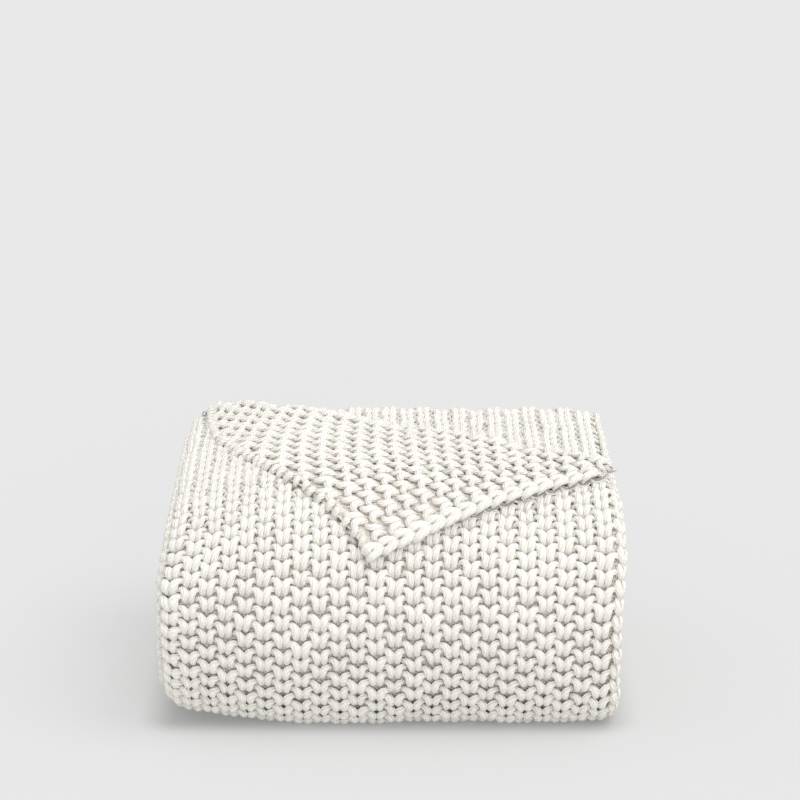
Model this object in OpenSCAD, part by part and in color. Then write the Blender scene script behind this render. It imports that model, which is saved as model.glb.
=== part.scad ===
// Folded throw blanket: one knitted cloth, folded in four across its width and in six along
// its length, with the free back right corner of its top ply turned over to the front.
// X runs left to right, Y front to back, Z up. The origin is on the floor, under the middle.

/* [Stack] */
// Width of the folded stack, left to right
stack_w = 340; // [310:5:370]
// Depth of the folded stack, front to back
stack_d = 300; // [290:5:330]
// Distance from one ply of cloth to the next
ply_pitch = 7.4; // [7:0.1:7.8]
// Air left between neighbouring plies
ply_gap = 0.4; // [0.3:0.1:0.6]

/* [Turned corner] */
// How far left of the middle the tip of the turned corner lies
tip_left = 15; // [5:5:25]
// Length along the cloth from the stack's back edge to the tip
tip_reach = 292; // [286:2:298]
// Angle round the front shoulder where the hanging tip starts to bend again
second_curl_at = 22; // [16:1:28]

/* [Knitted edges] */
// Width of the chain stitch selvedge
chain_w = 8; // [6:1:10]
// Width of the cast on edge
cast_on_w = 9; // [7:1:11]

/* [Hidden] */

// Ivory of the undyed cotton, a little deeper for the hidden plies
ivory = [0.93, 0.91, 0.87];
shaded_ivory = [0.86, 0.83, 0.77];
edge_ivory = [0.96, 0.95, 0.92];

// One pack is the cloth folded in four across and in two along: eight plies
plies = 8;
ply_t = ply_pitch - ply_gap;
pack_t = plies * ply_pitch - ply_gap;
stack_h = 3 * plies * ply_pitch;
half_h = stack_h / 2;

// The front fold goes round the whole stack, the back fold round its two lower packs,
// and the halving fold closes the front end of the inner pack, on the front fold's axis
front_axis_y = half_h - stack_d / 2;
inner_top = half_h + pack_t / 2;
back_r = inner_top / 2;
back_axis_y = stack_d / 2 - back_r;

// Across its width the cloth bends at the left twice, one bend inside the other, and at the
// right once: ply 1 joins ply 4 and ply 2 joins ply 3 at the left, ply 3 joins ply 4 at the right
side_r = (4 * ply_pitch - ply_gap) / 2;
left_axis_x = side_r - stack_w / 2;
right_r = ply_pitch - ply_gap / 2;
right_axis_x = stack_w / 2 - right_r;
bend_gap = 0.1;

// The turned corner, in plan on the unrolled top ply. The fold line halves the way from the
// corner's own place at the back right to where its tip lies, and is square to it
back_y = stack_d / 2;
tip_way = [stack_w / 2 + tip_left, tip_reach];
fold_mid = [stack_w / 2, back_y] - tip_way / 2;
fold_along = [tip_way[1], -tip_way[0]] / norm(tip_way);
fold_across = tip_way / norm(tip_way);
fold_left = [fold_mid[0] - (back_y - fold_mid[1]) * tip_way[1] / tip_way[0], back_y];
fold_right = [stack_w / 2, fold_mid[1] - (stack_w / 2 - fold_mid[0]) * tip_way[0] / tip_way[1]];
tip_flat = [-tip_left, back_y - tip_reach];
fold_axis_z = stack_h + ply_gap / 2;
fold_r = ply_t + ply_gap / 2;
corner_clear = 0.3;

// The tip hangs round the front shoulder on the front fold's axis
drape_r = half_h + ply_gap;
drape_mid_r = drape_r + ply_t / 2;
tip_angle = (front_axis_y - tip_flat[1]) / drape_mid_r * 180 / PI;
tip_plan = [-tip_left, front_axis_y - drape_mid_r * sin(tip_angle)];
curl_clear = 0.15;
curl_turn = curl_clear / drape_r * 180 / PI;
edge_gap = 0.2;
// How far a shape that is cut away reaches past the edge that it would otherwise share
cut_past = 1;

function ply_top(i) = (i - 1) * ply_pitch;
function strip_mid(i) = (i <= 4 ? 0 : 4 * ply_pitch) + side_r;
function left_bend_r(i) = (i == 1 || i == 4 || i == 5 || i == 8) ? side_r : right_r;
function has_right_bend(i) = i >= 3 && i <= 6;
function right_mid(i) = (i <= 4 ? ply_top(4) : ply_top(6)) - ply_gap / 2;
// The point where the line from a to b crosses the front fold's axis
function at_shoulder(a, b) = a + (b - a) * (front_axis_y - a[1]) / (b[1] - a[1]);

left_hang = at_shoulder(tip_flat, fold_left);
right_hang = at_shoulder(tip_flat, fold_right);

$fn = 96;

// A quarter of a bend's ring, on one side of its axis in the ply's section
module quarter_bend(axis_x, mid, r, side_x, side_t) {
    intersection() {
        translate([axis_x, mid])
            difference() {
                circle(r);
                circle(r - ply_t);
            }
        translate([axis_x + (side_x < 0 ? -2 * r : 0), mid + (side_t < 0 ? -2 * r : bend_gap)])
            square([2 * r, 2 * r - bend_gap]);
    }
}

// Section of ply i across its width: x along X, y the depth into the pack from its outer face
module ply_section(i, right_cut = 0) {
    side_t = ply_top(i) < strip_mid(i) - 0.5 ? -1 : 1;
    right_t = ply_top(i) < right_mid(i) - 0.5 ? -1 : 1;
    right_end = has_right_bend(i) ? right_axis_x : stack_w / 2 - right_cut;
    translate([left_axis_x, ply_top(i)])
        square([right_end - left_axis_x, ply_t]);
    quarter_bend(left_axis_x, strip_mid(i), left_bend_r(i), -1, side_t);
    if (has_right_bend(i)) {
        quarter_bend(right_axis_x, right_mid(i), right_r, 1, right_t);
    }
}

// A flat run of ply i from y0 to y1; its outer face is at z and its pack lies below or above
module flat_run(i, y0, y1, z, below) {
    translate([0, y1 - bend_gap, z])
        rotate([90, 0, 0])
            linear_extrude(height = y1 - y0 - 2 * bend_gap)
                mirror([0, below ? 1 : 0])
                    ply_section(i);
}

// Ply i going half way round an axis along X; toward is -1 for the front and 1 for the back
module round_run(i, y, z, r, toward, right_cut = 0) {
    translate([0, y, z])
        rotate([0, 90, 0])
            rotate([0, 0, toward < 0 ? 180 : 0])
                rotate_extrude(angle = 180)
                    translate([r, 0])
                        rotate(90)
                            ply_section(i, right_cut);
}

module bottom_third_ply(i) {
    color(i == 1 ? ivory : shaded_ivory)
        flat_run(i, front_axis_y, back_axis_y, 0, false);
}

module inner_third_ply(i) {
    color(i == 1 ? ivory : shaded_ivory)
        flat_run(i, front_axis_y, back_axis_y, inner_top, true);
}

// Plan outline of everything behind the corner's fold line
module behind_fold_line() {
    reach = 2 * stack_w;
    polygon([
        fold_mid - reach * fold_along,
        fold_mid + reach * fold_along,
        fold_mid + reach * fold_along + reach * fold_across,
        fold_mid - reach * fold_along + reach * fold_across
    ]);
}

// The top ply stops at the fold line, where its corner turns over
module top_third_ply(i) {
    color(i == 1 ? ivory : shaded_ivory)
        difference() {
            flat_run(i, front_axis_y, back_y, stack_h, true);
            if (i == 1) {
                translate([0, 0, stack_h - 1.5 * ply_t])
                    linear_extrude(height = 3 * ply_t)
                        translate(-edge_gap * fold_across)
                            behind_fold_line();
            }
        }
}

module front_fold_ply(i) {
    color(i == 1 ? ivory : shaded_ivory)
        round_run(i, front_axis_y, half_h, half_h, -1, i == 1 ? chain_w + ply_gap : 0);
}

module back_fold_ply(i) {
    color(i == 1 ? ivory : shaded_ivory)
        round_run(i, back_axis_y, back_r, back_r, 1);
}

// Where the strip was first folded in half along its length, inside the front fold
module halving_fold(i) {
    color(shaded_ivory)
        round_run(i, front_axis_y, half_h, pack_t / 2, -1);
}

// The outer ply's knitted edge, down the right side of the front
module front_selvedge_chain() {
    color(edge_ivory)
        translate([0, front_axis_y, half_h])
            rotate([0, 90, 0])
                rotate([0, 0, 180])
                    rotate_extrude(angle = 180)
                        translate([half_h - ply_t, stack_w / 2 - chain_w])
                            square([ply_t, chain_w]);
}

// The bend that joins the top ply to its turned corner
module corner_fold() {
    color(ivory)
        intersection() {
            translate([fold_mid[0], fold_mid[1], fold_axis_z])
                rotate([0, 0, atan2(fold_along[1], fold_along[0])])
                    rotate([0, 90, 0])
                        linear_extrude(height = 2 * stack_w, center = true)
                            intersection() {
                                difference() {
                                    circle(fold_r);
                                    circle(ply_gap / 2);
                                }
                                translate([-fold_r, 0])
                                    square([2 * fold_r, fold_r]);
                            }
            translate([-stack_w / 2, -stack_d / 2, 0])
                cube([stack_w, stack_d, 2 * stack_h]);
        }
}

// Plan wedge between the left edge and the right edge of the turned corner, less an inset
module corner_wedge(tip, left_at, right_at, left_inset = 0, right_inset = 0) {
    left_dir = (left_at - tip) / norm(left_at - tip);
    right_dir = (right_at - tip) / norm(right_at - tip);
    left_start = tip + left_inset * [left_dir[1], -left_dir[0]];
    right_start = tip + right_inset * [-right_dir[1], right_dir[0]];
    reach = 2 * stack_w;
    intersection() {
        polygon([
            left_start - reach * left_dir,
            left_start + reach * left_dir,
            left_start + reach * left_dir + reach * right_dir,
            left_start - reach * left_dir + reach * right_dir
        ]);
        polygon([
            right_start - reach * right_dir,
            right_start + reach * right_dir,
            right_start + reach * right_dir + reach * left_dir,
            right_start - reach * right_dir + reach * left_dir
        ]);
    }
}

// The flat part of the turned corner, in front of the fold line, on top of the stack
module flat_corner(left_inset, left_limit = 0) {
    translate([0, 0, stack_h + ply_gap])
        linear_extrude(height = ply_t)
            difference() {
                intersection() {
                    corner_wedge(tip_flat, fold_left, fold_right, left_inset);
                    translate([-stack_w / 2, front_axis_y + curl_clear])
                        square([stack_w, back_y - front_axis_y - curl_clear]);
                }
                if (left_limit > 0) {
                    corner_wedge(tip_flat, fold_left, fold_right, left_limit, -cut_past);
                }
                translate(-corner_clear * fold_across)
                    behind_fold_line();
            }
}

// A part of the turned corner that hangs round the front shoulder, between two angles
module hanging_corner(from, to) {
    intersection() {
        translate([0, front_axis_y, half_h])
            rotate([0, 90, 0])
                rotate([0, 0, 180 + from])
                    rotate_extrude(angle = to - from)
                        translate([drape_r, -stack_w / 2])
                            square([ply_t, stack_w]);
        translate([0, 0, half_h])
            linear_extrude(height = 2 * half_h)
                children();
    }
}

module hanging_wedge(left_inset, right_inset) {
    corner_wedge(tip_plan, left_hang, right_hang, left_inset, right_inset);
}

module shoulder_part() {
    hanging_corner(curl_turn, second_curl_at - curl_turn)
        children();
}

module tip_part() {
    hanging_corner(second_curl_at + curl_turn, 80)
        children();
}

module corner_panel() {
    color(ivory)
        flat_corner(cast_on_w + edge_gap);
}

module corner_cast_on_edge() {
    color(edge_ivory)
        flat_corner(0, cast_on_w);
}

module shoulder_panel() {
    color(ivory)
        shoulder_part()
            hanging_wedge(cast_on_w + edge_gap, chain_w + edge_gap);
}

module shoulder_cast_on_edge() {
    color(edge_ivory)
        shoulder_part()
            difference() {
                hanging_wedge(0, 0);
                hanging_wedge(cast_on_w, -cut_past);
            }
}

module shoulder_selvedge_chain() {
    color(edge_ivory)
        shoulder_part()
            difference() {
                hanging_wedge(cast_on_w + edge_gap, 0);
                hanging_wedge(0, chain_w);
            }
}

module tip_panel() {
    color(ivory)
        tip_part()
            hanging_wedge(cast_on_w + edge_gap, chain_w + edge_gap);
}

module tip_cast_on_edge() {
    color(edge_ivory)
        tip_part()
            difference() {
                hanging_wedge(0, 0);
                hanging_wedge(cast_on_w, -cut_past);
            }
}

module tip_selvedge_chain() {
    color(edge_ivory)
        tip_part()
            difference() {
                hanging_wedge(cast_on_w + edge_gap, 0);
                hanging_wedge(0, chain_w);
            }
}

bottom_third_ply(1);  // bottom_third_ply_1
bottom_third_ply(2);  // bottom_third_ply_2
bottom_third_ply(3);  // bottom_third_ply_3
bottom_third_ply(4);  // bottom_third_ply_4
bottom_third_ply(5);  // bottom_third_ply_5
bottom_third_ply(6);  // bottom_third_ply_6
bottom_third_ply(7);  // bottom_third_ply_7
bottom_third_ply(8);  // bottom_third_ply_8
inner_third_ply(1);  // inner_third_ply_1
inner_third_ply(2);  // inner_third_ply_2
inner_third_ply(3);  // inner_third_ply_3
inner_third_ply(4);  // inner_third_ply_4
inner_third_ply(5);  // inner_third_ply_5
inner_third_ply(6);  // inner_third_ply_6
inner_third_ply(7);  // inner_third_ply_7
inner_third_ply(8);  // inner_third_ply_8
top_third_ply(1);  // top_third_ply_1
top_third_ply(2);  // top_third_ply_2
top_third_ply(3);  // top_third_ply_3
top_third_ply(4);  // top_third_ply_4
top_third_ply(5);  // top_third_ply_5
top_third_ply(6);  // top_third_ply_6
top_third_ply(7);  // top_third_ply_7
top_third_ply(8);  // top_third_ply_8
front_fold_ply(1);  // front_fold_ply_1
front_fold_ply(2);  // front_fold_ply_2
front_fold_ply(3);  // front_fold_ply_3
front_fold_ply(4);  // front_fold_ply_4
front_fold_ply(5);  // front_fold_ply_5
front_fold_ply(6);  // front_fold_ply_6
front_fold_ply(7);  // front_fold_ply_7
front_fold_ply(8);  // front_fold_ply_8
back_fold_ply(1);  // back_fold_ply_1
back_fold_ply(2);  // back_fold_ply_2
back_fold_ply(3);  // back_fold_ply_3
back_fold_ply(4);  // back_fold_ply_4
back_fold_ply(5);  // back_fold_ply_5
back_fold_ply(6);  // back_fold_ply_6
back_fold_ply(7);  // back_fold_ply_7
back_fold_ply(8);  // back_fold_ply_8
halving_fold(1);  // halving_fold_1
halving_fold(2);  // halving_fold_2
halving_fold(3);  // halving_fold_3
halving_fold(4);  // halving_fold_4
front_selvedge_chain();
corner_fold();
corner_panel();
corner_cast_on_edge();
shoulder_panel();
shoulder_cast_on_edge();
shoulder_selvedge_chain();
tip_panel();
tip_cast_on_edge();
tip_selvedge_chain();
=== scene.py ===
"""The folded knitted throw: every stitch is real yarn, laid on the folded cloth's surfaces."""

import math

import bpy
import numpy as np
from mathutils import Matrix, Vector


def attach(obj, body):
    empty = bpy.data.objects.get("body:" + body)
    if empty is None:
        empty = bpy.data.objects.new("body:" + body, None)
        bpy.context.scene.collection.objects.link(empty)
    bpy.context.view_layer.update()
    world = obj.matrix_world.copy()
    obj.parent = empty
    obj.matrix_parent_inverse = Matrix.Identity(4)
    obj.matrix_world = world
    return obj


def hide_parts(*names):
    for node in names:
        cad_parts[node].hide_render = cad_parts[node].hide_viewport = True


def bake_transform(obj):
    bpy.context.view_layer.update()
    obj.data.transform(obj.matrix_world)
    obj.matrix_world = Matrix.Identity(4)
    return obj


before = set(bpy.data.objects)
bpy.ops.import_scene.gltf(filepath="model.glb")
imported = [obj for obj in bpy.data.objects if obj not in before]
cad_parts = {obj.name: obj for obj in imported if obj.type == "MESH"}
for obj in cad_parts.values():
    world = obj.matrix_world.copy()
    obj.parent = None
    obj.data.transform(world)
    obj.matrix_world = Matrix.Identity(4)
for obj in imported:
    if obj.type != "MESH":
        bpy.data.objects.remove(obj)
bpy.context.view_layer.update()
rng = np.random.default_rng(7)

# ---------------------------------------------------------------- sizes, in metres
MM = 0.001
COL = 13.9 * MM  # one stitch column
ROW = 13.1 * MM  # one stitch row
PLY = 7.4 * MM  # from one ply to the next
PACK_T = 8 * PLY
HALF_W = 0.170
TOP = 0.1735
LOW = 0.0048
BACK = 0.150
EDGE_R = 2 * PLY  # the left bend that joins ply 1 to ply 4
RIGHT_X = HALF_W - 0.0055  # where the outer ply's columns end and its chain begins
LEFT_AXIS = -HALF_W + EDGE_R + 0.002
FRONT_AXIS = -0.0612
FRONT_Z = 0.0880
FRONT_IN = 0.0290  # radius inside the front fold
BACK_AXIS = 0.0909
BACK_Z = 0.0590
V_FLAT = RIGHT_X - LEFT_AXIS
V_LEFT = V_FLAT + math.pi * EDGE_R
TIP = np.array([-0.015, -0.1420])
CORNER = np.array([HALF_W, BACK])
FOLD_MID = (CORNER + TIP) / 2
ACROSS = (CORNER - TIP) / np.linalg.norm(CORNER - TIP)  # from the tip to the corner's own place
TIP_Y_SPLIT = -0.079  # half way round the hanging shoulder
CAST_ON_LENGTH = 0.323  # the turned corner's cast on edge, from the tip to the fold line
BELLY = 0.036  # how far that edge bellies out to the left
BELLY_FADE = 0.09  # how fast the belly fades across the cloth


# ---------------------------------------------------------------- the fold's path
def arc(cy, cz, ry, rz, a0, a1, n, power=2.0):
    """Points round an ellipse-like curve, angles in degrees from +Y towards +Z."""
    a = np.radians(np.linspace(a0, a1, n))
    c, s = np.cos(a), np.sin(a)
    q = 2.0 / power
    return np.column_stack([cy + ry * np.sign(c) * np.abs(c) ** q, cz + rz * np.sign(s) * np.abs(s) ** q])


def ring(points, cy, cz, r):
    a = np.arctan2(points[:, 1] - cz, points[:, 0] - cy)
    return np.column_stack([cy + r * np.cos(a), cz + r * np.sin(a)])


def fold_path():
    """The pack's outer and inner faces in (y, z).

    They run from the top back edge round the front, under, round the back and in.
    """
    top = np.column_stack([np.linspace(BACK + 0.001, FRONT_AXIS, 80), np.full(80, TOP)])
    top[:, 1] -= 0.003 * np.clip(-(top[:, 0] - 0.03) / 0.09, 0, 1) ** 2
    top_in = top - [0, 0.0565]
    front = np.vstack([
        arc(-0.055, 0.082, 0.095, TOP - 0.0035 - 0.082, 92, 180, 90),
        arc(-0.1075, 0.082, 0.0425, 0.082 - LOW, 181, 268, 60),
        np.column_stack([np.linspace(-0.106, FRONT_AXIS, 14), np.full(14, LOW)]),
    ])
    front_in = ring(front, FRONT_AXIS, FRONT_Z, FRONT_IN)
    under = np.column_stack([np.linspace(FRONT_AXIS + 0.003, BACK_AXIS, 50), np.full(50, LOW)])
    under_in = np.column_stack([under[:, 0], np.full(50, BACK_Z - 0.0005)])
    back = arc(BACK_AXIS, BACK_Z, 0.0585, BACK_Z - LOW, -88, 88, 80, 2.2)
    back_in = ring(back, BACK_AXIS, BACK_Z, 0.0006)
    inner = np.column_stack([np.linspace(BACK_AXIS, FRONT_AXIS, 50), np.full(50, 2 * BACK_Z - LOW)])
    inner_in = np.column_stack([inner[:, 0], np.full(50, BACK_Z + 0.0005)])
    outside = np.vstack([top, front, under, back, inner])
    inside = np.vstack([top_in, front_in, under_in, back_in, inner_in])
    return outside, inside


class Path:
    """The folded pack in the YZ plane, read by the length along its outer face and the depth from it."""

    def __init__(self, outer, inner, smooth=5):
        seg = np.linalg.norm(np.diff(outer, axis=0), axis=1)
        s = np.concatenate([[0], np.cumsum(seg)])
        self.s = np.arange(0, s[-1], MM)
        self.o = self.smoothed(np.column_stack([np.interp(self.s, s, outer[:, i]) for i in (0, 1)]), smooth)
        self.i = self.smoothed(np.column_stack([np.interp(self.s, s, inner[:, i]) for i in (0, 1)]), smooth)
        t = np.gradient(self.o, axis=0)
        t /= np.linalg.norm(t, axis=1)[:, None]
        self.n = np.column_stack([t[:, 1], -t[:, 0]])
        if self.n[20, 1] < 0:
            self.n = -self.n
        self.length = self.s[-1]
        self.shoulder = float(np.interp(-FRONT_AXIS, -self.o[:220, 0], self.s[:220]))

    @staticmethod
    def smoothed(p, k):
        box = np.ones(2 * k + 1) / (2 * k + 1)
        pad = np.vstack([2 * p[0] - p[k:0:-1], p, 2 * p[-1] - p[-2 : -k - 2 : -1]])
        return np.column_stack([np.convolve(pad[:, i], box, "valid") for i in (0, 1)])

    def at(self, s, d):
        """(y, z) at a depth below the outer face; a negative depth stands off it."""
        s, d = np.asarray(s), np.asarray(d)
        o = [np.interp(s, self.s, self.o[:, i]) for i in (0, 1)]
        inn = [np.interp(s, self.s, self.i[:, i]) for i in (0, 1)]
        nn = [np.interp(s, self.s, self.n[:, i]) for i in (0, 1)]
        k = np.clip(d, 0, None) / PACK_T
        off = np.clip(d, None, 0)
        return tuple(o[i] + (inn[i] - o[i]) * k - nn[i] * off for i in (0, 1))

    def by_depth(self, d):
        """Reads the outer length at a length along depth d, so that stitches keep their size there."""
        y, z = self.at(self.s, np.full(len(self.s), d))
        own = np.concatenate([[0], np.cumsum(np.hypot(np.diff(y), np.diff(z)))])
        return own[-1], lambda s: np.interp(s, own, self.s)

    def s_of_y(self, y):
        """The outer length where the cloth laid flat on the top, and on down the front, reaches y."""
        y = np.asarray(y)
        on_top = np.interp(-y, -self.o[:220, 0], self.s[:220])
        return np.where(y > FRONT_AXIS, on_top, self.shoulder + (FRONT_AXIS - y))


path = Path(*fold_path())
S_UNDER = float(path.s[np.argmin(np.hypot(path.o[:, 0] + 0.1075, path.o[:, 1] - LOW))])
S_BACK_END = path.length - 0.145


def sag(x):
    """The sides lie a little lower than the middle, the left more than the right."""
    left = np.clip((-x - 0.075) / 0.095, 0, 1)
    return 0.003 * np.clip(np.abs(x) / HALF_W, 0, 1) ** 5 + 0.010 * left**1.5


def wave(u, v):
    """The cloth's gentle unevenness."""
    return 0.0008 * np.sin(u * 31 + 3 * np.sin(v * 17)) + 0.0007 * np.sin(v * 43 + u * 11)


# ---------------------------------------------------------------- surfaces: (u, v, n) to (x, y, z)
def outer_surface(u, v, n, depth=0.0):
    """u is the length along the path, v the length across from the right edge.

    Past the left end the cloth turns round its bend.
    """
    r = EDGE_R - depth
    phi = np.clip((v - V_FLAT) / r, 0, math.pi)
    over = np.maximum(v - V_FLAT - math.pi * r, 0)
    x = np.where(v < V_FLAT, RIGHT_X - v, LEFT_AXIS - (r + n) * np.sin(phi) + over)
    d = np.where(v < V_FLAT, depth - n, EDGE_R - (r + n) * np.cos(phi))
    d = d + sag(x) - wave(u, v)
    y, z = path.at(u, d)
    return np.stack([x, y, np.maximum(z, 0.0003)], -1)


def left_bend(centre, r):
    own_length, to_outer = path.by_depth(centre)

    def surface(u, v, n):
        phi = v / r
        x = LEFT_AXIS - (r + n) * np.sin(phi)
        y, z = path.at(to_outer(u), centre - (r + n) * np.cos(phi))
        return np.stack([x, y, z], -1)

    return own_length, surface


def right_bend(centre, r, axis_x):
    own_length, to_outer = path.by_depth(centre)

    def surface(u, v, n):
        phi = v / r
        x = axis_x + (r + n) * np.sin(phi)
        y, z = path.at(to_outer(u), centre - (r + n) * np.cos(phi))
        return np.stack([x, y, z], -1)

    return own_length, surface


def edge_strip(centre, x0):
    """The free edge of a ply on the right: n runs out along +X, v across the ply's thickness."""
    own_length, to_outer = path.by_depth(centre)

    def surface(u, v, n):
        y, z = path.at(to_outer(u), centre - v)
        return np.stack([x0 + n, y, z], -1)

    return own_length, surface


def fold_distance(x, y):
    return (x - FOLD_MID[0]) * ACROSS[0] + (y - FOLD_MID[1]) * ACROSS[1]


def flap_lift(x, y):
    """How far the turned corner's middle stands off the outer ply's face."""
    t = fold_distance(x, y)
    right = np.clip((x + 0.02) / 0.19, 0, 1)
    left = np.clip((-x - 0.02) / 0.13, 0, 1)
    at_fold = 0.0010 - 0.0010 * left + 0.0060 * right**2
    return 0.0078 - 0.0030 * left + at_fold * np.exp(np.minimum(t, 0) / 0.04)


def mirrored(a):
    return a - 2 * (a @ ACROSS) * ACROSS


CHAIN_DIR = mirrored(np.array([0.0, 1.0])) * -1  # from the tip along the selvedge, to the right
CAST_DIR = mirrored(np.array([1.0, 0.0])) * -1  # from the tip along the cast on edge, to the back left
CHAIN_DIR = CHAIN_DIR * np.sign(CHAIN_DIR[0])
CAST_DIR = CAST_DIR * np.sign(CAST_DIR[1])


def flap_plan(u, v):
    """Where the turned corner's cloth lies, seen from above; its cast on edge bellies out to the left."""
    along = np.clip(u / CAST_ON_LENGTH, 0, 1) ** 1.2
    belly = BELLY * np.sin(math.pi * along) * np.exp(-np.clip(v, 0, None) / BELLY_FADE)
    return TIP[0] + v * CHAIN_DIR[0] + u * CAST_DIR[0] - belly, TIP[1] + v * CHAIN_DIR[1] + u * CAST_DIR[1]


def flap_surface(u, v, n):
    """u runs from the chain edge along the cast on edge, v from the cast on edge along the chain edge.

    At the fold line the cloth turns under.
    """
    x, y = flap_plan(u, v)
    t = fold_distance(x, y)
    over = np.maximum(t, 0)
    fx, fy = x - over * ACROSS[0], y - over * ACROSS[1]
    lift = flap_lift(x, y)
    r = flap_lift(fx, fy) / 2 + 0.0005
    phi = np.clip(over / r, 0, math.pi)
    past = np.maximum(over - math.pi * r, 0)
    out = (r + n) * np.sin(phi) - past
    high = np.where(t < 0, lift + n, r + (r + n) * np.cos(phi))
    x, y = fx + out * ACROSS[0], fy + out * ACROSS[1]
    py, pz = path.at(path.s_of_y(y), sag(x) - wave(u + 0.3, v) - high)
    return np.stack([x, py, pz], -1)


# ---------------------------------------------------------------- yarn
def catmull(points, n):
    p = np.asarray(points, float)
    p = np.vstack([2 * p[0] - p[1], p, 2 * p[-1] - p[-2]])
    t = np.linspace(0, len(p) - 3 - 1e-9, n)
    i = t.astype(int)
    f = (t - i)[:, None]
    a, b, c, d = p[i], p[i + 1], p[i + 2], p[i + 3]
    return 0.5 * (2 * b + (c - a) * f + (2 * a - 5 * b + 4 * c - d) * f**2 + (3 * b - 3 * c + d - a) * f**3)


def tube(points, radii, rings=9, sides=9, lobes=3, lobe=0.07, turns=0.6):
    """A yarn through the points, as vertices, quads and (along, around) coordinates."""
    q = catmull(np.column_stack([points, radii]), rings)
    c, r = q[:, :3], q[:, 3]
    t = np.gradient(c, axis=0)
    t /= np.linalg.norm(t, axis=1)[:, None]
    b = np.zeros_like(t)
    b[0] = np.cross(t[0], [0.3, 0.2, 1.0])
    for k in range(rings):
        b[k] = b[max(k - 1, 0)] - (b[max(k - 1, 0)] @ t[k]) * t[k]
        b[k] /= np.linalg.norm(b[k])
    m = np.cross(b, t)
    a = np.linspace(0, 2 * math.pi, sides, endpoint=False)
    k = np.arange(rings)[:, None] / (rings - 1)
    rr = r[:, None] * (1 + lobe * np.cos(lobes * a[None] + 2 * math.pi * turns * k))
    v = c[:, None] + b[:, None] * (rr * np.cos(a))[..., None] + m[:, None] * (rr * np.sin(a))[..., None]
    i, j = np.meshgrid(np.arange(rings - 1), np.arange(sides), indexing="ij")
    j2 = (j + 1) % sides
    here, ahead = i * sides, (i + 1) * sides
    quads = np.stack([here + j, here + j2, ahead + j2, ahead + j], -1).reshape(-1, 4)
    along = np.concatenate([[0], np.cumsum(np.linalg.norm(np.diff(c, axis=0), axis=1))])
    uv = np.stack([np.repeat(along[:, None], sides, 1), np.repeat(a[None], rings, 0)], -1).reshape(-1, 2)
    return v.reshape(-1, 3), quads, uv


def joined(parts):
    vs, qs, uvs, base = [], [], [], 0
    for v, q, uv in parts:
        vs.append(v)
        qs.append(q + base)
        uvs.append(uv)
        base += len(v)
    return np.vstack(vs), np.vstack(qs), np.vstack(uvs)


def both_sides(points, radii, rings, sides, **more):
    return [
        tube([(side * a, b, n) for a, b, n in points], radii, rings, sides, turns=0.8 * side, **more)
        for side in (1, -1)
    ]


def stitch(rings=10, sides=9, under=True):
    """One stitch: two fat strands side by side that part at the top, turn outwards and dive.

    Points are in millimetres: across, along, out.
    """
    arm = [
        (2.2, -8.4, -3.2),
        (2.5, -5.6, 0.1),
        (2.6, -2.6, 2.1),
        (2.9, 0.2, 2.6),
        (4.6, 2.6, 2.2),
        (6.9, 3.2, 1.2),
        (8.6, 2.0, -0.6),
        (8.9, 0.0, -3.0),
    ]
    parts = both_sides(arm, [2.3, 2.9, 3.2, 3.2, 2.7, 2.3, 2.0, 1.5], rings, sides)
    if under:
        link = [(3.9, -3.4, -3.4), (5.2, -2.2, -1.9), (8.6, -2.2, -1.9), (9.9, -3.4, -3.4)]
        parts += both_sides(link, [1.6, 1.7, 1.7, 1.6], 5, 6)
        notch = [(-2.0, 3.0, -3.2), (-1.4, 5.6, -0.6), (1.4, 5.6, -0.6), (2.0, 3.0, -3.2)]
        parts.append(tube(notch, [1.2, 1.3, 1.3, 1.2], 6, 6))
    return joined(parts)


def chain_loop(rings=9, sides=8):
    """One link of the selvedge chain: two long strands that leave one loop and close over the next."""
    arm = [
        (0.3, -8.6, -1.2),
        (1.2, -5.0, 0.9),
        (2.2, -1.2, 1.8),
        (2.9, 2.6, 1.7),
        (3.0, 5.4, 0.4),
        (2.2, 7.2, -1.8),
    ]
    return joined(both_sides(arm, [1.6, 2.2, 2.5, 2.5, 2.2, 1.6], rings, sides))


def wrap(width=6.6, rings=9, sides=8):
    """One fat loop of the cast on edge, thrown over the edge and leaning along it."""
    line = [
        (-width, -2.4, -2.8),
        (-width * 0.7, -1.2, 0.9),
        (-1.2, 0.4, 2.5),
        (2.6, 1.6, 2.2),
        (width * 0.9, 2.4, 0.0),
        (width, 2.6, -2.8),
    ]
    return tube(line, [1.9, 2.6, 3.0, 3.0, 2.6, 1.9], rings, sides)


def lay(unit, centres, surface, jitter=0.35, turn=3.5, size=0.05, scale=(1, 1, 1), lean=0.0):
    """Copies of a yarn unit, in millimetres, at (u, v) centres on a surface.

    The unit's along runs against u, its across against v.
    """
    v, q, uv = unit
    n = len(centres)
    a = np.radians(rng.normal(0, turn, n)) + lean
    k = 1 + rng.normal(0, size, n)
    x = v[None, :, 0] * k[:, None] * MM * scale[0]
    y = v[None, :, 1] * k[:, None] * MM * scale[1]
    z = v[None, :, 2] * k[:, None] * MM * scale[2] + rng.normal(0, 0.22, n)[:, None] * MM
    ca, sa = np.cos(a)[:, None], np.sin(a)[:, None]
    j = rng.normal(0, jitter, (n, 2)) * MM
    uu = centres[:, 0:1] + j[:, 0:1] - (x * sa + y * ca)
    vv = centres[:, 1:2] + j[:, 1:2] - (x * ca - y * sa)
    pos = surface(uu.ravel(), vv.ravel(), z.ravel())
    quads = (q[None] + (np.arange(n) * len(v))[:, None, None]).reshape(-1, 4)
    return pos, quads, np.tile(uv, (n, 1)), np.repeat(rng.random(n), len(v)), np.tile(v[:, 2], n)


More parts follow.
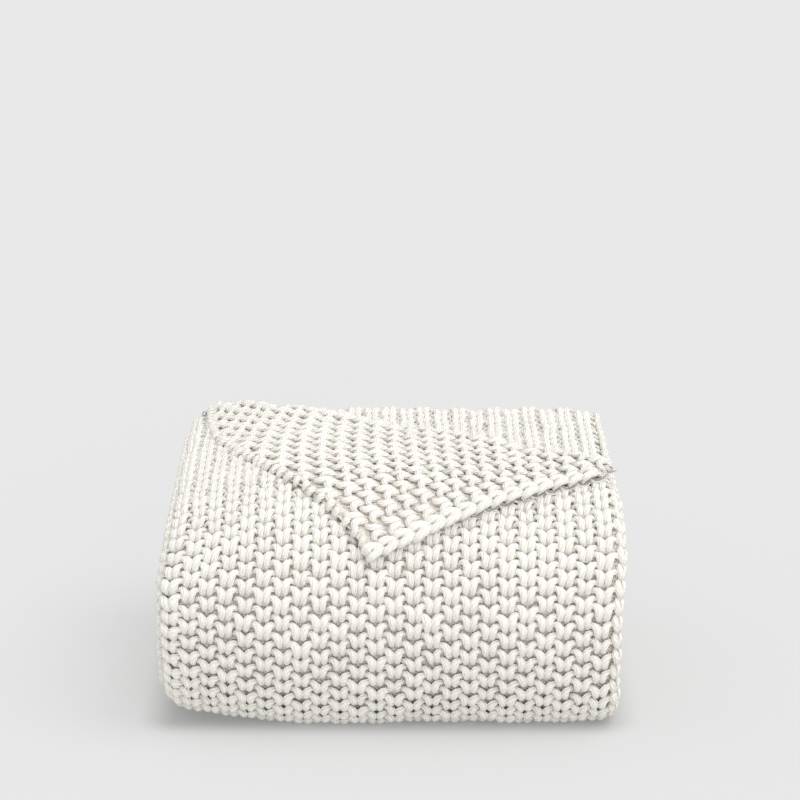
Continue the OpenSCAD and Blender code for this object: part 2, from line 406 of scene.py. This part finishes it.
def lay_on_curve(unit, points, out, spacing, scale=(1, 1, 1), turn=4.0, size=0.05):
    """Copies of a yarn unit along a line in space; out is the direction it faces."""
    p = np.asarray(points, float)
    s = np.concatenate([[0], np.cumsum(np.linalg.norm(np.diff(p, axis=0), axis=1))])
    n = max(2, int(round(s[-1] / spacing)))
    at = (np.arange(n) + 0.5) / n * s[-1]
    c = np.column_stack([np.interp(at, s, p[:, i]) for i in range(3)])
    ahead = np.column_stack([np.interp(np.minimum(at + 0.002, s[-1]), s, p[:, i]) for i in range(3)])
    behind = np.column_stack([np.interp(np.maximum(at - 0.002, 0), s, p[:, i]) for i in range(3)])
    t = ahead - behind
    t /= np.linalg.norm(t, axis=1)[:, None]
    o = np.asarray(out, float)
    o = np.repeat(o[None], n, 0)
    o = o - (o * t).sum(1)[:, None] * t
    o /= np.linalg.norm(o, axis=1)[:, None]
    w = np.cross(t, o)
    a = np.radians(rng.normal(0, turn, n))[:, None]
    t, w = t * np.cos(a) + w * np.sin(a), w * np.cos(a) - t * np.sin(a)
    v, q, uv = unit
    k = (1 + rng.normal(0, size, n))[:, None, None] * MM
    local = v * np.asarray(scale, float)
    across, along, above = (local[None, :, i : i + 1] for i in range(3))
    pos = c[:, None] + k * (across * w[:, None] + along * t[:, None] + above * o[:, None])
    quads = (q[None] + (np.arange(n) * len(v))[:, None, None]).reshape(-1, 4)
    tone = np.repeat(rng.random(n), len(v))
    return pos.reshape(-1, 3), quads, np.tile(uv, (n, 1)), tone, np.tile(v[:, 2], n)


def lattice(u0, u1, v0, v1, inside=None, col=COL, row=ROW):
    """Half-drop stitch centres in (u, v), with whole rows and columns between the limits."""
    nv = max(1, int(round((v1 - v0) / col)))
    nu = max(1, int(round((u1 - u0) / row)))
    cw, rh = (v1 - v0) / nv, (u1 - u0) / nu
    drop = [0.5, 0.0]
    out = [(u0 + rh * (j + drop[i % 2]), v0 + cw * (i + 0.5)) for i in range(nv) for j in range(nu + i % 2)]
    out = np.array(out)
    return out[inside(out)] if inside is not None else out


def settle(pos):
    """The stack leans in at the upper left, and bulges a little at the upper right."""
    x, z = pos[:, 0], pos[:, 2]
    left = np.clip((-x - 0.09) / 0.08, 0, 1) * np.clip((z - 0.110) / 0.045, 0, 1)
    right = np.clip((x - 0.09) / 0.08, 0, 1) * np.exp(-(((z - 0.140) / 0.030) ** 2))
    return np.column_stack([x + 0.0075 * left + 0.0040 * right, pos[:, 1], z])


def make(name, chunks, material):
    """One mesh object from laid yarn or a sheet."""
    pos = settle(np.vstack([c[0] for c in chunks]))
    quads, base = [], 0
    for c in chunks:
        quads.append(c[1] + base)
        base += len(c[0])
    quads = np.vstack(quads).astype(np.int32)
    me = bpy.data.meshes.new(name)
    me.vertices.add(len(pos))
    me.vertices.foreach_set("co", pos.astype(np.float32).ravel())
    me.loops.add(quads.size)
    me.loops.foreach_set("vertex_index", quads.ravel())
    me.polygons.add(len(quads))
    me.polygons.foreach_set("loop_start", np.arange(0, quads.size, 4, dtype=np.int32))
    me.polygons.foreach_set("use_smooth", np.ones(len(quads), bool))
    uv = np.vstack([c[2] for c in chunks])
    tone = np.concatenate([c[3] for c in chunks])
    deep = np.concatenate([c[4] for c in chunks])
    for key, values in (("along", uv[:, 0]), ("around", uv[:, 1]), ("tone", tone), ("deep", deep)):
        at = me.attributes.new(key, "FLOAT", "POINT")
        at.data.foreach_set("value", values.astype(np.float32))
    me.update()
    me.validate()
    o = bpy.data.objects.new(name, me)
    bpy.context.scene.collection.objects.link(o)
    me.materials.append(material)
    return o


def cloth(name, surface, us, vs, offset, inside=None):
    """The ground cloth under the yarn: a plain sheet on a surface, coloured in painted shade. Returns it with its
    flat area.
    """
    u, v = np.meshgrid(us, vs, indexing="ij")
    pos = surface(u.ravel(), v.ravel(), np.full(u.size, offset))
    nu, nv = u.shape
    i, j = np.meshgrid(np.arange(nu - 1), np.arange(nv - 1), indexing="ij")
    quads = np.stack([i * nv + j, (i + 1) * nv + j, (i + 1) * nv + j + 1, i * nv + j + 1], -1).reshape(-1, 4)
    if inside is not None:
        quads = quads[inside(np.column_stack([u.ravel()[quads].mean(1), v.ravel()[quads].mean(1)]))]
    area = len(quads) * (us[1] - us[0]) * (vs[1] - vs[0])
    used, inverse = np.unique(quads, return_inverse=True)
    flat_uv = np.column_stack([u.ravel()[used] / MM, v.ravel()[used] / MM])
    # The deep value of -3.2 puts the sheet near its material's shade colour: the sheet is painted in shade.
    chunk = (pos[used], inverse.reshape(-1, 4), flat_uv, np.full(len(used), 0.5), np.full(len(used), -3.2))
    o = make(name, [chunk], ground)
    return o, area


# ---------------------------------------------------------------- materials
def node_tree(name):
    m = bpy.data.materials.new(name)
    m.use_nodes = True
    nt = m.node_tree
    nt.nodes.clear()
    out = nt.nodes.new("ShaderNodeOutputMaterial")
    sh = nt.nodes.new("ShaderNodeBsdfPrincipled")
    nt.links.new(sh.outputs[0], out.inputs[0])
    return m, nt, sh


def yarn_material(name, light, shade, strands=8.0, twist=1.1):
    """Spun yarn: fine strands wind round it, with loose fibres; its colour carries painted shade, warmer and
    darker in the depths between the stitches and darker in the grooves between the strands.
    """
    m, nt, sh = node_tree(name)
    L, N = nt.links, nt.nodes

    def attribute(key):
        a = N.new("ShaderNodeAttribute")
        a.attribute_name = key
        return a.outputs["Fac"]

    def calc(op, a, b=0.0, clamp=False):
        x = N.new("ShaderNodeMath")
        x.operation = op
        x.use_clamp = clamp
        for i, k in enumerate((a, b)):
            if isinstance(k, (int, float)):
                x.inputs[i].default_value = k
            else:
                L.new(k, x.inputs[i])
        return x.outputs[0]

    around, along = attribute("around"), attribute("along")
    strand = calc("SINE", calc("ADD", calc("MULTIPLY", around, strands), calc("MULTIPLY", along, twist)))
    where = N.new("ShaderNodeTexCoord")
    fibre = N.new("ShaderNodeTexNoise")
    fibre.inputs["Scale"].default_value = 1100
    fibre.inputs["Detail"].default_value = 3
    L.new(where.outputs["Object"], fibre.inputs["Vector"])
    slub = N.new("ShaderNodeTexNoise")
    slub.inputs["Scale"].default_value = 160
    slub.inputs["Detail"].default_value = 2
    L.new(where.outputs["Object"], slub.inputs["Vector"])
    height = calc("ADD", calc("MULTIPLY", strand, 0.5), calc("MULTIPLY", fibre.outputs["Fac"], 0.7))
    bump = N.new("ShaderNodeBump")
    bump.inputs["Strength"].default_value = 0.9
    bump.inputs["Distance"].default_value = 0.7 * MM
    L.new(height, bump.inputs["Height"])
    L.new(bump.outputs[0], sh.inputs["Normal"])
    # Painted shade: the lower a point lies in its yarn unit, towards the cloth, the nearer its colour is to the
    # shade colour.
    depth = N.new("ShaderNodeMapRange")
    depth.inputs["From Min"].default_value = -3.6
    depth.inputs["From Max"].default_value = 1.2
    L.new(attribute("deep"), depth.inputs["Value"])
    # Painted shade in the grooves between the strands: the colour darkens where the strand wave is low.
    line = calc("MULTIPLY", calc("SUBTRACT", 1.0, strand), 0.10)
    mixed = calc("SUBTRACT", calc("ADD", depth.outputs[0], calc("MULTIPLY", attribute("tone"), 0.08)), line)
    mixed = calc("SUBTRACT", mixed, calc("MULTIPLY", slub.outputs["Fac"], 0.12), True)
    ramp = N.new("ShaderNodeMix")
    ramp.data_type = "RGBA"
    ramp.inputs["A"].default_value = (*shade, 1)
    ramp.inputs["B"].default_value = (*light, 1)
    L.new(mixed, ramp.inputs["Factor"])
    L.new(ramp.outputs["Result"], sh.inputs["Base Color"])
    sh.inputs["Roughness"].default_value = 0.9
    sh.inputs["Specular IOR Level"].default_value = 0.2
    sh.inputs["Sheen Weight"].default_value = 0.2
    sh.inputs["Sheen Roughness"].default_value = 0.5
    return m


# Each yarn's first colour is its lit colour and its second the painted shade of its depths between stitches.
yarn = yarn_material("ivory_yarn", (0.865, 0.842, 0.790), (0.84, 0.790, 0.715))
# The edge yarn's shade colour is darker and browner: painted shade in the gaps of the chains and cast on edges.
edge_yarn = yarn_material("ivory_edge_yarn_painted_shade", (0.860, 0.835, 0.780), (0.77, 0.70, 0.60))
# The ground sheet's colours sit darker and warmer than the yarn's light: painted shade in the gaps between
# stitches.
ground = yarn_material("ivory_ground_painted_shade", (0.86, 0.805, 0.725), (0.83, 0.770, 0.685), 1.6, 1.6)

# ---------------------------------------------------------------- the outer ply
full, plain, link, loop = stitch(), stitch(7, 7, False), chain_loop(), wrap()


def in_front_of_fold(margin):
    def test(c):
        y, z = path.at(c[:, 0], 0 * c[:, 0])
        return (c[:, 0] > path.shoulder + 0.02) | (fold_distance(RIGHT_X - c[:, 1], y) < margin)

    return test


def behind_fold(margin):
    return lambda c: ~in_front_of_fold(margin)(c)


root_pieces = {}
centres = lattice(0.005, S_BACK_END, 0.003, V_LEFT - 0.004, inside=in_front_of_fold(0.001))
on_top = centres[:, 0] <= path.shoulder - 0.02
below = centres[:, 0] >= S_UNDER
root_pieces["outer_knit_top"] = [lay(full, centres[on_top], outer_surface)]
root_pieces["outer_knit_front"] = [lay(full, centres[~on_top & ~below], outer_surface)]
root_pieces["outer_knit_under_and_back"] = [lay(plain, centres[below], outer_surface)]

bend_inside = lattice(S_BACK_END + 0.002, path.length - 0.002, V_FLAT - 0.012, V_LEFT)
root_pieces["outer_bend_inside"] = [lay(plain, bend_inside, outer_surface)]

# The outer ply's chain, down the right of the front, under and round the back
fold_right_y = FOLD_MID[1] - (HALF_W - FOLD_MID[0]) * ACROSS[0] / ACROSS[1]
chain_start = float(path.s_of_y(fold_right_y)) + 0.002


def front_chain_surface(u, v, n):
    """Round the outer ply's right edge, half on its face and half on its side."""
    phi = v / 0.0035 + math.pi / 4
    r = 0.0025 + n
    y, z = path.at(u, 0.0022 - r * np.cos(phi) + 0.0035)
    return np.stack([HALF_W - 0.0062 + r * np.sin(phi), y, z], -1)


def row_of(u0, u1, spacing, v=0.0):
    n = max(1, int(round((u1 - u0) / spacing)))
    return np.column_stack([u0 + (np.arange(n) + 0.5) * (u1 - u0) / n, np.full(n, v)])


chain_row = row_of(chain_start, path.length - 0.14, ROW)
root_pieces["outer_chain"] = [lay(link, chain_row, front_chain_surface, scale=(0.8, 1, 1), turn=2)]

# Ply 2 shows on the top, behind the fold line
second_rows = lattice(0.005, 0.235, 0.003, V_FLAT + 0.01, inside=behind_fold(-0.012))
root_pieces["second_ply_knit_top"] = [lay(full, second_rows, lambda u, v, n: outer_surface(u, v, n, PLY))]

# ---------------------------------------------------------------- the left side: two bends to a pack
bend_length, bend_surface = left_bend(6 * PLY, EDGE_R)
bend_rows = lattice(0.004, bend_length - 0.004, 0.002, math.pi * EDGE_R)
root_pieces["left_bend_knit"] = [lay(plain, bend_rows, bend_surface)]

# ---------------------------------------------------------------- the right side
# Plies 3 and 4, and 5 and 6, bend; the rest end in chains
NARROW_COL = 11.6 * MM
bend_r = PLY * 0.96
for k, middle in enumerate((3 * PLY, 5 * PLY)):
    n_length, n_surface = right_bend(middle, bend_r, HALF_W - bend_r - 0.003)
    rows = lattice(0.004, n_length - 0.004, 0.0, math.pi * bend_r, col=NARROW_COL)
    root_pieces[f"right_bend_knit_{k + 1}"] = [lay(plain, rows, n_surface, scale=(0.82, 0.95, 0.8))]
chains = []
for ply in (2, 7, 8):
    s_length, strip = edge_strip((ply - 0.5) * PLY, HALF_W - 0.0055)
    chains.append(lay(link, row_of(0.006, s_length - 0.004, ROW), strip, scale=(1.0, 1, 1), turn=2))
root_pieces["inner_chains"] = chains

# ---------------------------------------------------------------- the halved end of the inner pack
TURN_R = 0.02  # lengths round the halving fold are measured at this radius


def round_halving(x, q, angle):
    """A point at radius q and an angle round the halving fold."""
    return np.stack([x, FRONT_AXIS - q * np.sin(angle), FRONT_Z + q * np.cos(angle)], -1)


def halving_bend(side, axis_x, centre, r):
    """The bend of two plies going half way round the inner pack's front end.

    u is the length round the fold, v the length round the bend.
    """

    def surface(u, v, n):
        q = centre + (r + n) * np.cos(v / r)
        x = axis_x + side * (r + n) * np.sin(v / r)
        return round_halving(x, q, u / TURN_R)

    return surface


def halving_edge(radius, x0):
    def surface(u, v, n):
        return round_halving(x0 + n, radius + v, u / TURN_R)

    return surface


half_turn = math.pi * TURN_R
left_rows = lattice(0.0, half_turn, 0.0, math.pi * EDGE_R)
halved = [lay(plain, left_rows, halving_bend(-1, LEFT_AXIS, 2 * PLY, EDGE_R))]
right_rows = lattice(0.0, half_turn, 0.0, math.pi * bend_r, col=NARROW_COL, row=0.02)
right_halving = halving_bend(1, HALF_W - bend_r - 0.003, PLY, bend_r)
halved.append(lay(plain, right_rows, right_halving, scale=(0.82, 0.8, 0.8)))
for radius in (3.5 * PLY, 2.5 * PLY):
    links = row_of(0.0, half_turn, ROW * TURN_R / radius)
    halved.append(lay(link, links, halving_edge(radius, RIGHT_X), turn=2))
root_pieces["halving_bend_knit"] = halved

# ---------------------------------------------------------------- the top pack's back end
def ply_line(points_xd, y):
    """A ply's cast on edge: a line in the pack's section at the back, from x and depth."""
    p = np.asarray(points_xd, float)
    py, pz = path.at(np.full(len(p), 0.001), p[:, 1])
    return np.column_stack([p[:, 0], np.full(len(p), y), pz - sag(p[:, 0])])


def half_round(cx, cd, r, side, up, n=9):
    a = np.linspace(0, math.pi, n)
    return [(cx + side * r * math.sin(t), cd - up * r * math.cos(t)) for t in a]


def section_upper():
    x1, x2 = HALF_W - 0.006, HALF_W - PLY - 0.004
    line = [(-0.150, 0.5 * PLY)] + half_round(LEFT_AXIS, 2 * PLY, 1.5 * PLY, -1, 1)
    line += half_round(x2, 3 * PLY, 0.5 * PLY, 1, -1)
    line += half_round(LEFT_AXIS, 2 * PLY, 0.5 * PLY, -1, -1)
    return line + [(x1, 1.5 * PLY)]


def section_lower():
    x1, x2 = HALF_W - 0.006, HALF_W - PLY - 0.004
    line = [(x1, 6.5 * PLY)] + half_round(LEFT_AXIS, 6 * PLY, 0.5 * PLY, -1, -1)
    line += half_round(x2, 5 * PLY, 0.5 * PLY, 1, -1)
    line += half_round(LEFT_AXIS, 6 * PLY, 1.5 * PLY, -1, 1)
    return line + [(x1, 7.5 * PLY)]


edges = []
for section in (section_upper(), section_lower()):
    line = ply_line(section, BACK - 0.0005)
    edges.append(lay_on_curve(loop, line, (0, 1, 0), 0.0092, scale=(0.40, 0.85, 0.9), turn=8))
root_pieces["cast_on_edges"] = edges

# ---------------------------------------------------------------- the turned corner
def flap_zone(edge_u, edge_v, t0=-9.0, t1=0.022, low_y=-9.0, high_y=9.0):
    """Which (u, v) lie on the turned corner, inside its edges and between two distances from the fold."""

    def test(c):
        u, v = c[:, 0], c[:, 1]
        x, y = flap_plan(u, v)
        t = fold_distance(x, y)
        fx, fy = x - np.maximum(t, 0) * ACROSS[0], y - np.maximum(t, 0) * ACROSS[1]
        on_top = (fx < 0.1590) & (fx > -0.1560) & (fy < BACK - 0.002) & (x < 0.1600) & (x > -0.1600)
        return (t > t0) & (t < t1) & on_top & (u > edge_u) & (v > edge_v) & (y > low_y) & (y <= high_y)

    return test


T_ROLL = -0.016
# The one row of yarn that goes round the roll is a piece of its own, laid bent round it; the rows either side go
# whole with their side
T_OVER = 0.0005
T_UNDER = 0.013
PANEL = {"t1": T_ROLL, "low_y": TIP_Y_SPLIT}
HANGING = {"t1": T_ROLL, "high_y": TIP_Y_SPLIT}
YARN_ZONES = {
    "fold_under": {"t0": T_UNDER},
    "fold_turn": {"t0": T_OVER, "t1": T_UNDER},
    "fold_over": {"t0": T_ROLL, "t1": T_OVER},
    "panel": PANEL,
    "tip": HANGING,
}
CLOTH_ZONES = {"fold": {"t0": T_ROLL}, "panel": PANEL, "tip": HANGING}


def flipped(surface):
    return lambda u, v, n: surface(v, u, n)


def underside(depth):
    """The turned corner's other face, at a depth below its middle."""
    return lambda u, v, n: flap_surface(u, v, -n - depth)


grid_uv = lattice(0.0075, 0.36, 0.0065, 0.36)[:, ::-1]
flap_pieces = {}
for zone, limits in YARN_ZONES.items():
    c = grid_uv[flap_zone(0.006, 0.006, **limits)(grid_uv)][:, ::-1]
    upper = lay(full, c, flipped(flap_surface), scale=(0.90, 0.92, 0.90), turn=5)
    lower = lay(plain, c + [ROW / 2, 0], flipped(underside(0.0035)), scale=(0.9, 0.9, 0.45))
    flap_pieces[zone] = [upper, lower]


def along_edge(kind, limits, spacing):
    """Centres along the turned corner's edge that fall in one zone."""
    s = np.arange(0.004, 0.40, spacing)
    if kind == "chain":
        c = np.column_stack([np.full(len(s), 0.0015), s])
    else:
        c = np.column_stack([s, np.full(len(s), 0.002)])
    return c[flap_zone(-1, -1, **limits)(c)]


def chain_surface(u, v, n):
    """The selvedge chain sits proud on the edge of the turned corner."""
    return flap_surface(v, u, n + 0.0004)


def cast_surface(u, v, n):
    return flap_surface(u, v, n - 0.0004)


for zone, limits in YARN_ZONES.items():
    c = along_edge("chain", limits, ROW * 0.97)
    if len(c):
        upper = lay(link, c[:, ::-1], chain_surface, scale=(1.2, 1.0, 1.25), turn=3, jitter=0.2)
        moved = c[:, ::-1] + [ROW / 2, 0.0005]
        lower = lay(link, moved, flipped(underside(0.003)), scale=(1.1, 1.0, 0.9), turn=3, jitter=0.2)
        flap_pieces[zone] += [upper, lower]
    c = along_edge("cast", limits, 0.0088)
    if len(c):
        upper = lay(loop, c, cast_surface, scale=(0.58, 0.85, 0.95), turn=9)
        lower = lay(loop, c + [0.005, 0], underside(0.0035), scale=(0.56, 0.85, 0.8), turn=9)
        flap_pieces[zone] += [upper, lower]

# ---------------------------------------------------------------- objects
objects = {}
for name, chunks in root_pieces.items():
    edge = "chain" in name or "cast_on" in name
    objects[name] = make(name, chunks, edge_yarn if edge else yarn)
    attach(objects[name], "folded_stack")
for zone, chunks in flap_pieces.items():
    objects["corner_" + zone + "_knit"] = make("corner_" + zone + "_knit", chunks, yarn)

us = np.arange(0.002, S_BACK_END, 0.006)
vs = np.linspace(0.0, V_LEFT, 62)
outer_cloth, a = cloth("outer_cloth", outer_surface, us, vs, -0.0014, inside=in_front_of_fold(0.006))
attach(outer_cloth, "folded_stack")
replacing = {1: outer_cloth}
across = np.linspace(0.0, V_FLAT, 20)
for ply in range(2, 9):
    depth = (ply - 0.5) * PLY
    n_length, to_outer = path.by_depth(depth)

    def ply_surface(u, v, n, depth=depth, to_outer=to_outer):
        x = RIGHT_X - v
        y, z = path.at(to_outer(u), depth - n + sag(x))
        return np.stack([x, y, z], -1)

    o, a = cloth(f"ply_{ply}_cloth", ply_surface, np.arange(0.001, n_length, 0.006), across, 0.0)
    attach(o, "folded_stack")
    replacing[ply] = o
for k in range(4):
    radius = (3.5 - k) * PLY

    def round_end(u, v, n, radius=radius):
        return round_halving(RIGHT_X - v, radius + n, u / radius)

    o, a = cloth(f"halving_cloth_{k + 1}", round_end, np.linspace(0, math.pi * radius, 9), across, 0.0)
    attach(o, "folded_stack")
    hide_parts(f"halving_fold_{k + 1}")
PLY_PARTS = ("bottom_third", "inner_third", "top_third", "front_fold", "back_fold")
for ply, o in replacing.items():
    names = [f"{part}_ply_{ply}" for part in PLY_PARTS]
    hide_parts(*names)
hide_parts("front_selvedge_chain")

steps = np.arange(0.0, 0.36, 0.004)
for zone, limits in CLOTH_ZONES.items():
    inside = flap_zone(-1, -1, **limits)
    o, a = cloth("corner_" + zone + "_cloth", flap_surface, steps, steps, -0.0006, inside=inside)
    objects["corner_" + zone + "_cloth"] = o

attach(objects["corner_fold_under_knit"], "folded_stack")
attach(objects["corner_fold_over_knit"], "turned_corner")
# Between the cloth's two runs at the fold: the surface between them falls towards the left, as the stack does
for kind in ("cloth", "turn_knit"):
    bending = objects["corner_fold_" + kind]
    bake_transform(bending)
for kind in ("cloth", "knit"):
    panel, tip = (objects["corner_" + z + "_" + kind] for z in ("panel", "tip"))
    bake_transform(panel)
    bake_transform(tip)
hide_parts("corner_fold")
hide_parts("corner_panel", "corner_cast_on_edge")
EDGES = ("panel", "cast_on_edge", "selvedge_chain")
hanging = [part + "_" + edge_name for part in ("shoulder", "tip") for edge_name in EDGES]
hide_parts(*hanging)

# ---------------------------------------------------------------- floor, light, camera
floor_mesh = bpy.data.meshes.new("floor")
floor_mesh.from_pydata([(-14, -10, 0), (14, -10, 0), (14, 18, 0), (-14, 18, 0)], [], [(0, 1, 2, 3)])
floor = bpy.data.objects.new("floor", floor_mesh)
bpy.context.scene.collection.objects.link(floor)
floor_material, floor_nodes, floor_shader = node_tree("pale_floor")
floor_shader.inputs["Base Color"].default_value = (0.30, 0.30, 0.30, 1)
floor_shader.inputs["Roughness"].default_value = 1.0
floor_shader.inputs["Specular IOR Level"].default_value = 0.0
# A lit studio sweep: the floor glows evenly; its glow is turned down under and just around the object's
# footprint, a painted contact shadow
place = floor_nodes.nodes.new("ShaderNodeTexCoord")
offset = floor_nodes.nodes.new("ShaderNodeVectorMath")
offset.operation = "ABSOLUTE"
inset = floor_nodes.nodes.new("ShaderNodeVectorMath")
inset.operation = "SUBTRACT"
inset.inputs[1].default_value = (HALF_W - 0.012, 0.108, 0.0)
outside = floor_nodes.nodes.new("ShaderNodeVectorMath")
outside.operation = "MAXIMUM"
outside.inputs[1].default_value = (0.0, 0.0, 0.0)
away = floor_nodes.nodes.new("ShaderNodeVectorMath")
away.operation = "LENGTH"
# The glow falls from 0.41 to 0.20 within 35 mm of the footprint box: painted contact shadow.
glow_and_painted_contact_shadow = floor_nodes.nodes.new("ShaderNodeMapRange")
glow_and_painted_contact_shadow.interpolation_type = "SMOOTHSTEP"
glow_and_painted_contact_shadow.inputs["From Min"].default_value = 0.0
glow_and_painted_contact_shadow.inputs["From Max"].default_value = 0.035
glow_and_painted_contact_shadow.inputs["To Min"].default_value = 0.20
glow_and_painted_contact_shadow.inputs["To Max"].default_value = 0.410
floor_nodes.links.new(place.outputs["Object"], offset.inputs[0])
floor_nodes.links.new(offset.outputs[0], inset.inputs[0])
floor_nodes.links.new(inset.outputs[0], outside.inputs[0])
floor_nodes.links.new(outside.outputs[0], away.inputs[0])
floor_nodes.links.new(away.outputs["Value"], glow_and_painted_contact_shadow.inputs["Value"])
floor_shader.inputs["Emission Color"].default_value = (1, 1, 1, 1)
floor_nodes.links.new(glow_and_painted_contact_shadow.outputs[0], floor_shader.inputs["Emission Strength"])
floor_mesh.materials.append(floor_material)

world = bpy.data.worlds.new("studio")
bpy.context.scene.world = world
world.use_nodes = True
world.node_tree.nodes["Background"].inputs[0].default_value = (1, 1, 1, 1)
world.node_tree.nodes["Background"].inputs[1].default_value = 0.95


def sun(name, direction, strength, angle):
    light = bpy.data.lights.new(name, "SUN")
    light.energy = strength
    light.angle = math.radians(angle)
    o = bpy.data.objects.new(name, light)
    o.rotation_euler = Vector(direction).to_track_quat("-Z", "Y").to_euler()
    bpy.context.scene.collection.objects.link(o)


sun("key", (-0.44, 0.17, -0.88), 1.15, 45)
sun("front_fill", (-0.18, 0.95, -0.26), 0.88, 40)

look = bpy.context.scene.view_settings
look.view_transform = "Standard"
look.look = "None"

camera_data = bpy.data.cameras.new("camera")
camera = bpy.data.objects.new("camera", camera_data)
bpy.context.scene.collection.objects.link(camera)
target = Vector((0.0, 0.0, 0.088))
elevation = math.radians(19)
camera.location = target + Vector((0, -math.cos(elevation), math.sin(elevation))) * 2.30
camera.rotation_euler = (target - camera.location).to_track_quat("-Z", "Y").to_euler()
camera_data.sensor_width = 36
camera_data.lens = 133
camera_data.shift_x = 0.0125
camera_data.shift_y = 0.2035
camera_data.clip_end = 60
bpy.context.scene.camera = camera
